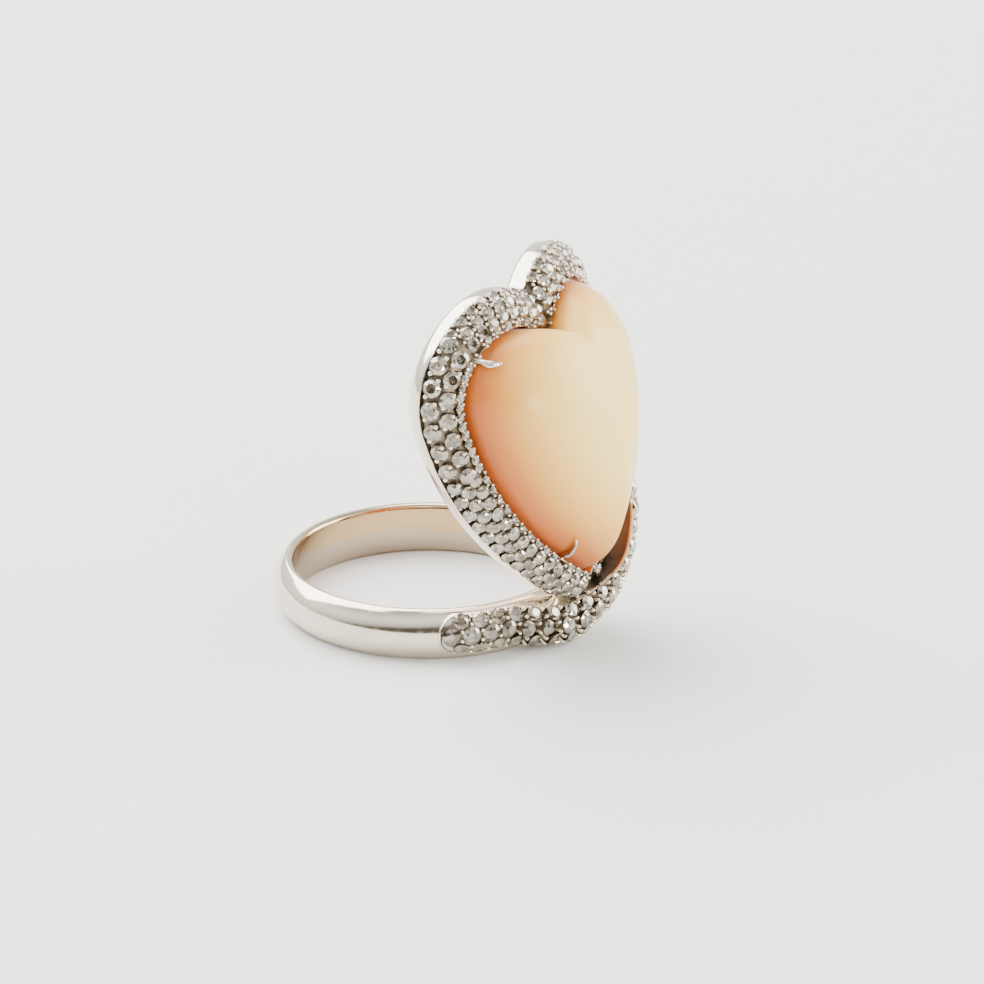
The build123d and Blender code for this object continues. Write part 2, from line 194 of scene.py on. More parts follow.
def along_curve(rows, place):
    """Smooth value at a place counted in rows."""
    index = min(int(place), len(rows) - 2)
    share = place - index
    before, after = rows[max(index - 1, 0)], rows[min(index + 2, len(rows) - 1)]
    return [curve(a, b, c, d, share) for a, b, c, d in zip(before, rows[index], rows[index + 1], after)]


# ---- Materials ----------------------------------------------------------------------
def new_material(name):
    material = bpy.data.materials.new(name)
    material.use_nodes = True
    nodes, links = material.node_tree.nodes, material.node_tree.links
    return material, nodes, links, nodes["Principled BSDF"]


def noise(nodes, links, coords, scale, detail=3.0, roughness=0.5):
    node = nodes.new("ShaderNodeTexNoise")
    node.inputs["Scale"].default_value = scale
    node.inputs["Detail"].default_value = detail
    node.inputs["Roughness"].default_value = roughness
    links.new(coords.outputs["Object"], node.inputs["Vector"])
    return node


def ramp(nodes, links, source, stops):
    node = nodes.new("ShaderNodeValToRGB")
    elements = node.color_ramp.elements
    while len(elements) < len(stops):
        elements.new(0.5)
    for element, (place, colour) in zip(elements, stops):
        element.position = place
        element.color = (*colour, 1.0)
    links.new(source, node.inputs["Fac"])
    return node


def white_gold(name, colour, wear_and_shade_tone, rough, bump):
    """Polished white gold with faint clouding and fine wear. In dark colours it serves as painted shade on
    the beds between the small stones.
    """
    material, nodes, links, shader = new_material(name)
    coords = nodes.new("ShaderNodeTexCoord")
    cloud = noise(nodes, links, coords, 260.0)
    tint = ramp(nodes, links, cloud.outputs["Fac"], ((0.35, colour), (0.7, wear_and_shade_tone)))
    links.new(tint.outputs["Color"], shader.inputs["Base Color"])
    fine = noise(nodes, links, coords, 1900.0, 4.0, 0.6)
    spread = nodes.new("ShaderNodeMapRange")
    spread.inputs["From Min"].default_value = 0.3
    spread.inputs["From Max"].default_value = 0.75
    spread.inputs["To Min"].default_value = rough
    spread.inputs["To Max"].default_value = rough + 0.12
    links.new(fine.outputs["Fac"], spread.inputs["Value"])
    links.new(spread.outputs["Result"], shader.inputs["Roughness"])
    relief = nodes.new("ShaderNodeBump")
    relief.inputs["Strength"].default_value = bump
    relief.inputs["Distance"].default_value = 0.00002
    links.new(fine.outputs["Fac"], relief.inputs["Height"])
    links.new(relief.outputs["Normal"], shader.inputs["Normal"])
    shader.inputs["Metallic"].default_value = 1.0
    return material


gold = white_gold("white_gold_polished", (0.80, 0.735, 0.63), (0.72, 0.65, 0.54), 0.08, 0.2)
# Dark copy of the white gold: painted shade, for the beds between the small stones and the sheet beside the
# ribbon.
painted_shade_gold = white_gold("white_gold_painted_shade", (0.27, 0.22, 0.165), (0.14, 0.11, 0.08), 0.35, 0.6)
bead_gold = white_gold("white_gold_beads", (0.84, 0.76, 0.62), (0.74, 0.66, 0.52), 0.12, 0.2)


def band_material():
    """White gold of the band. Its inside is darker and yellower, partly from wear of the plating and partly
    as painted shade and painted golden reflection; its upper part, with a wavy border, is more orange, a
    painted reflection of the heart.
    """
    material = white_gold("white_gold_band", (0.77, 0.70, 0.59), (0.68, 0.60, 0.48), 0.08, 0.2)
    nodes, links = material.node_tree.nodes, material.node_tree.links
    shader = nodes["Principled BSDF"]
    outside = shader.inputs["Base Color"].links[0].from_socket
    coords = nodes.new("ShaderNodeTexCoord")
    flat = nodes.new("ShaderNodeVectorMath")
    flat.operation = "MULTIPLY"
    flat.inputs[1].default_value = (1000.0, 1000.0, 0.0)
    links.new(coords.outputs["Object"], flat.inputs[0])
    reach = nodes.new("ShaderNodeVectorMath")
    reach.operation = "LENGTH"
    links.new(flat.outputs["Vector"], reach.inputs[0])
    share = nodes.new("ShaderNodeMapRange")
    share.inputs["From Min"].default_value = FINGER_RADIUS + 0.05
    share.inputs["From Max"].default_value = FINGER_RADIUS + 0.45
    links.new(reach.outputs["Value"], share.inputs["Value"])
    mix = nodes.new("ShaderNodeMix")
    mix.data_type = "RGBA"
    links.new(share.outputs["Result"], mix.inputs["Factor"])
    painted_reflection_wave = noise(nodes, links, coords, 150.0, 1.0)
    upper = nodes.new("ShaderNodeVectorMath")
    upper.operation = "DOT_PRODUCT"
    upper.inputs[1].default_value = (0.0, 0.0, 1000.0 / BAND_WIDTH)
    links.new(coords.outputs["Object"], upper.inputs[0])
    reach_up = nodes.new("ShaderNodeMath")
    reach_up.operation = "MULTIPLY_ADD"
    reach_up.inputs[1].default_value = 0.9
    links.new(painted_reflection_wave.outputs["Fac"], reach_up.inputs[0])
    links.new(upper.outputs["Value"], reach_up.inputs[2])
    # Inside colours: darker, yellower gold for wear and painted shade, turning orange towards the top as a
    # painted reflection of the heart.
    inside_wear_shade_and_reflection = ramp(nodes, links, reach_up.outputs["Value"], (
        (0.0, (0.46, 0.39, 0.30)), (0.94, (0.47, 0.39, 0.29)), (1.0, (0.52, 0.37, 0.20))))
    links.new(inside_wear_shade_and_reflection.outputs["Color"], mix.inputs["A"])
    links.new(outside, mix.inputs["B"])
    links.new(mix.outputs["Result"], shader.inputs["Base Color"])
    return material


def brilliant_material():
    material, nodes, links, shader = new_material("brilliant")
    coords = nodes.new("ShaderNodeTexCoord")
    # Random dark and bright warm patches on the small stones: painted sparkle and painted warm reflection.
    tone = noise(nodes, links, coords, 2000.0, 2.0)
    tint = ramp(nodes, links, tone.outputs["Fac"], (
        (0.42, (0.26, 0.21, 0.135)), (0.57, (0.86, 0.79, 0.63))))
    links.new(tint.outputs["Color"], shader.inputs["Base Color"])
    shader.inputs["Roughness"].default_value = 0.03
    shader.inputs["IOR"].default_value = 2.2
    shader.inputs["Metallic"].default_value = 0.3
    shader.inputs["Transmission Weight"].default_value = 1.0
    return material


DRIFT = 0.02     # the stone's colour also lightens upwards, by this share a millimetre


def shell_material():
    """Peach stone: deep at its low edge, cream towards the summit, with soft cloudy bands."""
    material, nodes, links, shader = new_material("peach_stone")
    coords = nodes.new("ShaderNodeTexCoord")
    height = nodes.new("ShaderNodeVectorMath")
    height.operation = "DOT_PRODUCT"
    height.inputs[1].default_value = OUT / (DOME_HEIGHT * MM) + UP * (DRIFT / MM)
    links.new(coords.outputs["Object"], height.inputs[0])
    level = nodes.new("ShaderNodeMath")
    level.operation = "SUBTRACT"
    level.inputs[1].default_value = TIP.dot(OUT) / DOME_HEIGHT + (TIP.dot(UP) + DOME_MIDDLE) * DRIFT
    links.new(height.outputs["Value"], level.inputs[0])
    cloud = noise(nodes, links, coords, 130.0, 2.0)
    sway = nodes.new("ShaderNodeMath")
    sway.operation = "MULTIPLY_ADD"
    sway.inputs[1].default_value = 0.07
    links.new(cloud.outputs["Fac"], sway.inputs[0])
    links.new(level.outputs["Value"], sway.inputs[2])
    tint = ramp(nodes, links, sway.outputs["Value"], (
        (0.0, (0.50, 0.11, 0.012)),
        (0.25, (0.62, 0.185, 0.02)),
        (0.45, (0.77, 0.345, 0.05)),
        (0.70, (0.90, 0.52, 0.11)),
        (0.95, (0.97, 0.69, 0.195)),
    ))
    links.new(tint.outputs["Color"], shader.inputs["Base Color"])
    shader.inputs["Roughness"].default_value = 0.38
    shader.inputs["IOR"].default_value = 1.5
    shader.inputs["Specular IOR Level"].default_value = 0.3
    shader.inputs["Coat Weight"].default_value = 0.12
    shader.inputs["Coat Roughness"].default_value = 0.2
    shader.inputs["Sheen Weight"].default_value = 0.6
    shader.inputs["Sheen Roughness"].default_value = 0.3
    shader.inputs["Sheen Tint"].default_value = (1.0, 0.99, 0.90, 1.0)
    shader.inputs["Subsurface Weight"].default_value = 0.35
    shader.inputs["Subsurface Radius"].default_value = (1.0, 0.65, 0.35)
    shader.inputs["Subsurface Scale"].default_value = 0.0015
    return material


diamond = brilliant_material()
band_gold = band_material()
peach = shell_material()


# ---- Band ---------------------------------------------------------------------------
def round_corner(centre, radius, first, last, steps=5):
    return [(centre[0] + radius * cos(radians(first + (last - first) * k / steps)),
             centre[1] + radius * sin(radians(first + (last - first) * k / steps)))
            for k in range(steps + 1)]


def band():
    edge = BAND_EDGE_ROUND
    profile = round_corner((FINGER_RADIUS + edge, edge), edge, 270, 180)
    profile += round_corner((FINGER_RADIUS + edge, BAND_WIDTH - edge), edge, 180, 90)
    # Domed outside, an arc through the two side edges and the crest
    half = BAND_WIDTH / 2
    rise = BAND_THICKNESS - BAND_SIDE
    radius = (half**2 + rise**2) / (2 * rise)
    span = asin(half / radius)
    for k in range(25):
        angle = span - 2 * span * k / 24
        profile.append((BAND_RADIUS - radius + radius * cos(angle), half + radius * sin(angle)))
    steps = 240
    lanes = []
    for r, z in profile:
        turns = [2 * pi * k / steps for k in range(steps + 1)]
        lanes.append([(r * cos(turn), r * sin(turn), z) for turn in turns])
    verts, faces = [], []
    strip(verts, faces, lanes)
    return make_object("band", verts, faces, band_gold, sharp=50.0, weld=0.002)


# ---- Heart frame --------------------------------------------------------------------
def face_point(width, edge, rim, rise, share):
    """Point and direction outward of a domed face, at a share of its arc."""
    lean = atan2(rim - edge, width)
    middle = (width / 2 + rise * sin(lean), (edge + rim) / 2 + rise * cos(lean))
    chord = hypot(width, rim - edge)
    radius = chord**2 / (8 * rise) + rise / 2
    centre = (middle[0] - sin(lean) * radius, middle[1] - cos(lean) * radius)
    half = asin(chord / 2 / radius)
    angle = pi / 2 - lean - half + 2 * half * share
    return (centre[0] + radius * cos(angle), centre[1] + radius * sin(angle)), (cos(angle), sin(angle))


LIMB = (FRAME_WIDTH, FRAME_EDGE, FRAME_RIM, FRAME_DOME)
BED_SINK = 0.34


def sunk(section, share, depth):
    (x, y), (nx, ny) = face_point(*section, share)
    return x - nx * depth, y - ny * depth


def two_sided(name, profile, material, sharp, closed=True):
    """A frame part whose lanes run along both halves of the heart."""
    verts, faces = [], []
    for side in (1, -1):
        lanes = []
        for x, y in profile:
            lanes.append([on_sheet(side * u, v, y) for u, v in heart.lane(x)])
        strip(verts, faces, lanes, closed)
    return make_object(name, verts, faces, material, sharp, weld=0.004)


def frame_metal():
    ledge = FRAME_BACK + LEDGE_HEIGHT
    outside = [
        (-0.1, ledge), (0.0, ledge), (0.0, 0.70), (0.015, 0.755), (0.05, 0.785), (0.10, 0.775),
        (0.13, 0.74), sunk(LIMB, 0.93, BED_SINK + 0.1),
    ]
    outside += [sunk(LIMB, share, BED_SINK + 0.1) for share in (0.85, 0.7, 0.55, 0.4, 0.25, 0.12)]
    outside += [
        sunk(LIMB, 0.06, 0.36), sunk(LIMB, 0.045, 0.02), sunk(LIMB, 0.025, -0.03), sunk(LIMB, 0.0, -0.01),
        (2.335, -0.56), (2.355, -0.75), (2.36, -1.0), (2.34, -1.25), (2.28, -1.45), (2.18, -1.60),
        (2.02, -1.68), (1.8, FRAME_BACK), (0.9, FRAME_BACK), (0.0, FRAME_BACK), (-0.1, FRAME_BACK + 0.1),
    ]
    return two_sided("heart_frame", outside, gold, 40.0)


def frame_bed():
    """Sheet between the small stones, just above the metal under it, dark with painted shade."""
    floor_line = [sunk(LIMB, 0.955, 0.06), sunk(LIMB, 0.93, BED_SINK)]
    floor_line += [sunk(LIMB, share, BED_SINK) for share in (0.85, 0.7, 0.55, 0.4, 0.25, 0.12)]
    floor_line += [sunk(LIMB, 0.066, BED_SINK), sunk(LIMB, 0.055, 0.06)]
    return two_sided("heart_bed", floor_line, painted_shade_gold, 60.0, closed=False)


# ---- Ribbon -------------------------------------------------------------------------
RIBBON_ON_SHEET = (
    # u, v, lift, heading, back, width
    (6.60, 8.40, -0.15, -22.0, -0.9, 2.1),
    (5.60, 5.40, 1.00, -32.0, -1.2, 2.2),
    (4.20, 2.50, 1.45, -43.0, -1.6, 2.3),
    (2.20, -0.10, 1.15, -60.0, -2.2, 2.5),
    (-0.20, -1.15, 0.25, -78.0, -1.8, 2.6),
    (-2.40, -1.25, -0.55, -87.0, -1.2, 2.6),
)
RIBBON_ON_BAND = (-27.0, -40.0, -55.5)


def ribbon_rows():
    """Origin, outward and normal directions, width, back, edge, rim and rise."""
    rows = []
    for u, v, lift, heading, back, width in RIBBON_ON_SHEET:
        outward, normal = sheet_axes(u, cos(radians(heading)), sin(radians(heading)))
        share = max(0.0, min(1.0, (2.0 - u) / 4.4))
        rows.append((on_sheet(u, v) + normal * lift, outward, normal, width, back,
                     FRAME_EDGE + share * 0.35, FRAME_RIM - share * 0.95, FRAME_DOME + share * 0.2))
    for degrees_round in RIBBON_ON_BAND:
        turn = radians(degrees_round)
        radial = Vector((cos(turn), sin(turn), 0))
        top = Vector((0, 0, BAND_WIDTH - RIBBON_MARGIN))
        rows.append((radial * BAND_RADIUS + top, Vector((0, 0, -1)), radial, RIBBON_WIDTH,
                     -RIBBON_SINK, -0.35, -0.35, RIBBON_CREST + 0.35))
    return rows


RIBBON = ribbon_rows()


def ribbon_at(place):
    origin, outward, normal, *values = along_curve(RIBBON, place)
    outward = outward.normalized()
    normal = (normal - outward * normal.dot(outward)).normalized()
    return origin, outward, normal, values


# Places before the ribbon's rounded end, closer and closer
END_PLACES = (0.5, 0.4, 0.32, 0.25, 0.19, 0.14, 0.1, 0.07, 0.052, 0.048, 0.03, 0.015, 0.006)


def ribbon_stations():
    """Places along the ribbon, with the distance of each to its rounded end."""
    places = [k / 14 for k in range(0, 14 * (len(RIBBON) - 1) + 1)]
    last = len(RIBBON) - 1
    places = sorted(set(places + [last - short for short in END_PLACES]))
    points = []
    for place in places:
        origin, outward, _, values = ribbon_at(place)
        points.append(origin + outward * values[0] / 2)
    left = [0.0] * len(points)
    for k in range(len(points) - 2, -1, -1):
        left[k] = left[k + 1] + (points[k + 1] - points[k]).length
    return list(zip(places, left))


RIM_TOP = 0.03
RIBBON_WALL = ((0.0, None), (0.0, -0.06), (0.02, 0.0), (0.05, RIM_TOP), (0.09, RIM_TOP), (0.115, 0.0))
BED_SHARES = (-0.75, -0.45, -0.15, 0.15, 0.45, 0.75)


def over_band(point):
    """Keeps a point of the ribbon's bed just outside the band."""
    half = BAND_WIDTH / 2
    rise = BAND_THICKNESS - BAND_SIDE
    radius = (half**2 + rise**2) / (2 * rise)
    away = abs(point.z - half)
    reach = hypot(point.x, point.y)
    if away > half:
        return point
    surface = BAND_RADIUS - radius + sqrt(radius**2 - away**2) + 0.03
    if not FINGER_RADIUS < reach < surface:
        return point
    return Vector((point.x * surface / reach, point.y * surface / reach, point.z))


def ribbon_piece(name, wall, depth, material, closed):
    """Lanes along the ribbon: inset from an edge, or a share of the bed, and a height."""
    lanes = []
    sides = [(inset, rise, -1) for inset, rise in wall]
    sides += [(share, -depth, 0) for share in BED_SHARES]
    sides += [(inset, rise, 1) for inset, rise in reversed(wall)]
    stations = ribbon_stations()
    for inset, rise, side in sides:
        lane = []
        for place, left in stations:
            origin, outward, normal, (width, back, edge, rim, dome) = ribbon_at(place)
            radius = width / 2
            own = inset if side else 0.22
            if left >= radius:
                half = radius - own
            elif left > own:
                half = sqrt(max(0.0, (radius - own)**2 - (radius - left)**2))
            else:
                half = 0.0
            x = radius - side * half if side else radius + inset * half
            outer = (width - x) / width
            low = edge + (rim - edge) * outer
            bulge = 1 - (2 * outer - 1)**2
            height = low + dome * bulge
            if rise is None:
                y = back
            elif left < own:
                y = height + RIM_TOP * (1 if closed else -1)
            else:
                y = height + rise
            point = origin + outward * x + normal * y
            lane.append(point if closed else over_band(point))
        lanes.append(lane)
    verts, faces = [], []
    strip(verts, faces, lanes, closed)
    return make_object(name, verts, faces, material, 40.0, weld=0.003)


def ribbon_metal():
    return ribbon_piece("ribbon", RIBBON_WALL + ((0.13, -0.4),), BED_SINK + 0.1, gold, True)


def ribbon_shade_sheet():
    """Painted shade: a dark sheet just in front of the upper side of the ribbon, towards the stone."""
    lanes = []
    for low in (1.0, 0.5, 0.0):
        lane = []
        for step in range(70):
            origin, outward, normal, (_, back, _, rim, _) = ribbon_at(0.05 * step + 0.8)
            lane.append(origin - outward * 0.012 + normal * lerp(rim - 0.16, back, low))
        lanes.append(lane)
    verts, faces = [], []
    strip(verts, faces, lanes, False)
    return make_object("ribbon_shade_sheet", verts, faces, painted_shade_gold, 60.0)


# Sheet under the ribbon's small stones, dark with painted shade.
def ribbon_bed():
    return ribbon_piece("ribbon_bed", ((0.112, -0.05), (0.125, -BED_SINK)), BED_SINK, painted_shade_gold, False)


# ---- Claws --------------------------------------------------------------------------
DOME_LAYERS = (
    (-0.76, 1.0, 0.0),
    (-0.16, 1.0, 0.0),
    (0.0, 0.986, 0.005),
    (0.12, 0.965, 0.03),
    (0.42, 0.87, 0.18),
    (0.68, 0.70, 0.42),
    (0.88, 0.46, 0.68),
    (0.985, 0.18, 0.85),
    (1.0, 0.004, 0.9),
)
CLAW_PLACES = (
    # arc, angle, side, reach over the stone, turn aside
    ("lobe", 53.0, -1, 0.70, 0.4),
    ("lobe", 2.0, 1, 0.5, 0.0),
    ("flank", -43.4, -1, 0.85, 1.3),
    ("flank", -38.0, 1, 0.8, 0.0),
)


OUTLINE = heart.lane(0.0, 120, 180)


def dome_level(u, v):
    """Height of the dome over the bent sheet at (u, v)."""
    bearing = atan2(u, v - DOME_MIDDLE)
    edge = min(OUTLINE, key=lambda p: abs(atan2(p[0], p[1] - DOME_MIDDLE) - bearing))
    size = min(1.0, hypot(u, v - DOME_MIDDLE) / hypot(edge[0], edge[1] - DOME_MIDDLE))
    level = DOME_LAYERS[-1][0]
    for (low, large, _), (high, small, _) in zip(DOME_LAYERS[1:], DOME_LAYERS[2:]):
        if small <= size <= large:
            level = low + (high - low) * (large - size) / (large - small)
    return level * DOME_HEIGHT + u * u / 2 / HEART_BEND


# Share of the reach, and radius, from the root of a claw to its point
CLAW_SHAPE = ((-0.35, 0.36), (0.0, 0.35), (0.4, 0.26), (0.75, 0.17), (1.0, 0.11), (1.08, 0.04))
CLAW_ROOT_HEIGHT, CLAW_SIDES, CLAW_WIDE, CLAW_FLAT = 0.2, 14, 1.05, 0.8


def claws():
    verts, faces = [], []
    around = CLAW_SIDES
    for arc, degrees_round, side, reach, aside in CLAW_PLACES:
        turn = radians(degrees_round)
        path = []
        for share, radius in CLAW_SHAPE:
            u, v = heart.point(arc, turn, -reach * share)
            u -= sin(turn) * aside * share * abs(share)
            v += cos(turn) * aside * share * abs(share)
            height = CLAW_ROOT_HEIGHT
            if share >= 0:
                height = dome_level(u, v) + radius * 0.5 + CLAW_LIFT
            path.append((on_sheet(side * u, v, height), radius))
        fine = []
        for k in range((len(path) - 1) * 4 + 1):
            fine.append(tuple(along_curve(path, k / 4)))
        start = len(verts)
        for k, (place, radius) in enumerate(fine):
            ahead = (fine[min(k + 1, len(fine) - 1)][0] - fine[max(k - 1, 0)][0]).normalized()
            sideways = ahead.cross(OUT).normalized()
            upward = sideways.cross(ahead)
            for step in range(around):
                angle = 2 * pi * step / around
                verts.append(place + sideways * (radius * CLAW_WIDE * cos(angle))
                             + upward * (radius * CLAW_FLAT * sin(angle)))
        for k in range(len(fine) - 1):
            for step in range(around):
                nxt = (step + 1) % around
                faces.append((start + k * around + step, start + k * around + nxt,
                              start + (k + 1) * around + nxt, start + (k + 1) * around + step))
        faces.append(tuple(range(start, start + around)))
        end = start + (len(fine) - 1) * around
        faces.append(tuple(range(end, end + around)))
    return make_object("claws", verts, faces, gold, 50.0)


# ---- Heart stone --------------------------------------------------------------------
def heart_stone():
    """Domed cabochon: rings of ever smaller hearts over straight sides."""
    rings = []
    seat = FRAME_BACK + LEDGE_HEIGHT + STONE_GAP
    places = [1 + k / 8 for k in range((len(DOME_LAYERS) - 2) * 8 + 1)]
    layers = [along_curve(DOME_LAYERS, place) for place in places]
    outline = heart.shrunk(1.0, 0.0)
    bottom = []
    for side, order in ((1, 1), (-1, -1)):
        lane = outline.lane(-STONE_GAP, 40, 60)[::order]
        bottom += [on_sheet(side * u, v, seat) for u, v in (lane[:-1])]
    rings.append(bottom)
    for height, size, fill in layers:
        small = heart.shrunk(size, max(0.0, fill))
        ring = []
        for side, order in ((1, 1), (-1, -1)):
            lane = small.lane(-STONE_GAP * size, 40, 60)[::order]
            ring += [TIP + ACROSS * (side * u) + UP * v + OUT * (height * DOME_HEIGHT)
                     for u, v in lane[:-1]]
        rings.append(ring)
    verts = [v for ring in rings for v in ring]
    count = len(bottom)
    faces = [tuple(range(count))]
    for row in range(len(rings) - 1):
        for step in range(count):
            nxt = (step + 1) % count
            faces.append((row * count + step, row * count + nxt,
                          (row + 1) * count + nxt, (row + 1) * count + step))
    faces.append(tuple(range((len(rings) - 1) * count, len(rings) * count)))
    return make_object("peach_heart", verts, faces, peach, 50.0)


# ---- Pave ---------------------------------------------------------------------------
def add_brilliant(verts, faces, origin, normal, along, radius, turn):
    """Round brilliant: table, star, kite and half facets, girdle and pavilion."""
    side = normal.cross(along).normalized()
    start = len(verts)

    def ring(count, share, height, offset):
        for k in range(count):
            angle = turn + 2 * pi * (k + offset) / count
            verts.append(origin + along * (radius * share * cos(angle))
                         + side * (radius * share * sin(angle)) + normal * (radius * height))

    ring(8, 0.56, 0.34, 0.0)      # table
    ring(8, 0.80, 0.20, 0.5)      # tips of the star facets
    ring(16, 1.0, 0.03, 0.0)      # girdle, upper
    ring(16, 1.0, -0.03, 0.0)     # girdle, lower
    ring(8, 0.50, -0.38, 0.5)     # lower halves
    verts.append(origin - normal * (radius * 0.62))
    table, star, upper, lower, half, culet = (start + rings for rings in (0, 8, 16, 32, 48, 56))
    faces.append(tuple(table + k for k in range(8)))
    for k in range(8):
        nxt, prev = (k + 1) % 8, (k - 1) % 8
        faces.append((table + k, star + k, table + nxt))
        faces.append((table + k, star + prev, upper + 2 * k, star + k))
        faces.append((star + k, upper + 2 * k, upper + 2 * k + 1))
        faces.append((star + k, upper + 2 * k + 1, upper + (2 * k + 2) % 16))
        faces.append((lower + 2 * k, lower + 2 * k + 1, half + k))
        faces.append((lower + 2 * k + 1, lower + (2 * k + 2) % 16, half + k))
        faces.append((lower + 2 * k, half + k, culet, half + prev))
    for k in range(16):
        nxt = (k + 1) % 16
        faces.append((upper + k, lower + k, lower + nxt, upper + nxt))


def add_bead(verts, faces, origin, normal, along, radius, depth):
    """Raised grain of metal: a short post with a domed head."""
    side = normal.cross(along).normalized()
    start = len(verts)
    rows = ((1.1, -depth), (1.0, 0.0), (0.85, radius * 0.55), (0.5, radius * 0.88))
    for size, height in rows:
        for k in range(8):
            angle = 2 * pi * k / 8
            verts.append(origin + along * (radius * size * cos(angle)) + side * (radius * size * sin(angle))
                         + normal * height)
    verts.append(origin + normal * radius)
    for row in range(len(rows) - 1):
        for k in range(8):
            nxt = (k + 1) % 8
            low = start + row * 8
            faces.append((low + k, low + nxt, low + 8 + nxt, low + 8 + k))
    top = start + (len(rows) - 1) * 8
    for k in range(8):
        faces.append((top + k, top + (k + 1) % 8, start + len(rows) * 8))


def limb_spot(side, along, share):
    """Origin, normal, running direction, arc and sheet place on a limb, at a distance from the cleft."""
    (x, y), (nx, ny) = face_point(*LIMB, share)
    first = heart.cleft_angle(x)
    lobe_length = (heart.lobe + x) * (first - heart.join)
    if along < lobe_length:
        arc, angle = "lobe", first - along / (heart.lobe + x)
    else:
        arc, angle = "flank", heart.join - (along - lobe_length) / (heart.flank + x)
        x -= nip(x, angle)
    u, v = heart.point(arc, angle)
    outward, normal = sheet_axes(side * u, side * cos(angle), sin(angle))
    origin = on_sheet(side * u, v) + outward * x + normal * y
    facing = (outward * nx + normal * ny).normalized()
    running = outward.cross(normal).normalized()
    return origin, facing, running, arc, heart.point(arc, angle, x)


def lane_length(share):
    (x, _), _ = face_point(*LIMB, share)
    lobe = (heart.lobe + x) * (heart.cleft_angle(x) - heart.join)
    return lobe + (heart.flank + x) * (heart.join - heart.tip_angle(x))


def near_claw(spot, side, radius):
    for arc, degrees_round, claw_side, _, _ in CLAW_PLACES:
        root = heart.point(arc, radians(degrees_round), 0.1)
        if claw_side == side and hypot(spot[0] - root[0], spot[1] - root[1]) < radius + 0.28:
            return True
    return False


LOBE_ZONE = 7.2           # the first stretch from the cleft has smaller stones
FLANK_ZONE = 16.6         # and so has the stretch from here to the tip
LIMB_END = 99.0           # beyond the tip
COLUMN = (0.40, 5)        # radius and number of the small stones down the cleft
# Rows on the limbs: share of the face's arc, radius, pitch and first place
LOBE_ROWS = ((0.13, 0.42, 0.98, 0.30), (0.39, 0.44, 0.98, 0.79),
             (0.655, 0.42, 0.98, 0.30), (0.895, 0.29, 0.98, 0.79))
FLANK_ROWS = ((0.205, 0.57, 1.34, 0.5), (0.59, 0.56, 1.34, 1.17), (0.90, 0.31, 0.67, 0.5))
TIP_ROWS = ((0.15, 0.46, 1.02, 0.40), (0.42, 0.48, 1.02, 0.91),
            (0.69, 0.46, 1.02, 0.40), (0.92, 0.28, 1.02, 0.91))
# Rows on the ribbon, from its rounded end: the same, and the place where the row stops
RIBBON_ROWS = ((0.165, 0.48, 1.24, 1.45, 1.0), (0.5, 0.59, 1.30, 0.86, 3.2),
               (0.835, 0.51, 1.24, 1.45, 1.0))
BEAD_LARGE, BEAD_SMALL, BEAD_RIBBON = 0.17, 0.115, 0.14
BEAD_POST, BEAD_PROUD, STONE_SINK, STONE_TILT = 0.4, 0.04, 0.02, 0.09


def ribbon_edge(u):
    """Where the ribbon's upper edge crosses the sheet, at a place across."""
    places = sorted((row[0], row[1]) for row in RIBBON_ON_SHEET)
    if u <= places[0][0]:
        return places[0][1]
    for (low_u, low_v), (high_u, high_v) in zip(places, places[1:]):
        if u <= high_u:
            return lerp(low_v, high_v, (u - low_u) / (high_u - low_u))
    return places[-1][1]


def limb_pave(stones, beads):
    for rows, first, last in ((LOBE_ROWS, 0.0, LOBE_ZONE), (FLANK_ROWS, LOBE_ZONE, FLANK_ZONE),
                              (TIP_ROWS, FLANK_ZONE, LIMB_END)):
        for share, radius, pitch, phase in rows:
            spots_along(stones, beads, share, radius, pitch, phase, first, last)
    radius, count = COLUMN
    for k in range(count):
        share = 0.06 + 0.84 * k / (count - 1)
        (x, y), (nx, ny) = face_point(*LIMB, share)
        _, v = heart.point("lobe", heart.cleft_angle(x), x)
        facing = (OUT * ny + UP * nx * 0.6).normalized()
        stones.append((on_sheet(0, v, y), facing, ACROSS, radius))


def spots_along(stones, beads, share, radius, pitch, phase, first, last):
    length = lane_length(share)
    ratio = length / lane_length(0.5)
    for side in (1, -1):
        place = first + phase
        while place < min(last, length / ratio):
            origin, facing, running, arc, spot = limb_spot(side, place * ratio, share)
            low = arc == "flank" and spot[1] - 0.75 * radius < ribbon_edge(side * spot[0])
            clear = spot[0] > radius * 0.9 if arc == "flank" else spot[0] > radius + COLUMN[0] * 0.45
            if clear and not low and not near_claw(spot, side, radius):
                stones.append((origin, facing, running, radius))
            middle = (place + pitch / 2) * ratio
            for shift in (-1, 1):
                grain = min(0.965, share + shift * radius * 0.52 / 2.85)
                if middle > min(last * ratio + 0.2, length, lane_length(grain)):
                    continue
                origin, facing, running, arc, spot = limb_spot(side, middle, grain)
                if spot[0] > 0.1 and not (arc == "flank" and spot[1] < ribbon_edge(side * spot[0])):
                    beads.append((origin, facing, running, BEAD_LARGE if radius > 0.5 else BEAD_SMALL))
            place += pitch


def ribbon_spot(place, share):
    origin, outward, normal, (width, _, edge, rim, dome) = ribbon_at(place)
    (x, y), (nx, ny) = face_point(width, edge, rim, dome, share)
    facing = (outward * nx + normal * ny).normalized()
    return origin + outward * x + normal * y, facing, outward.cross(normal).normalized()


def ribbon_pave(stones, beads):
    fine = 60
    last_row = len(RIBBON) - 1
    for share, radius, pitch, phase, first in RIBBON_ROWS:
        length, before, wanted, between = 0.0, None, phase, phase + pitch / 2
        for step in range(int(last_row * fine), int(first * fine), -1):
            place = step / fine
            origin, facing, running = ribbon_spot(place, share)
            if before is not None:
                length += (origin - before).length
            before = origin
            if length >= wanted:
                wanted += pitch
                stones.append((origin, facing, running, radius))
            if length >= between:
                between += pitch
                for shift in (-1, 1):
                    beads.append((*ribbon_spot(place, share + shift * radius * 0.5 / 2.9), BEAD_RIBBON))


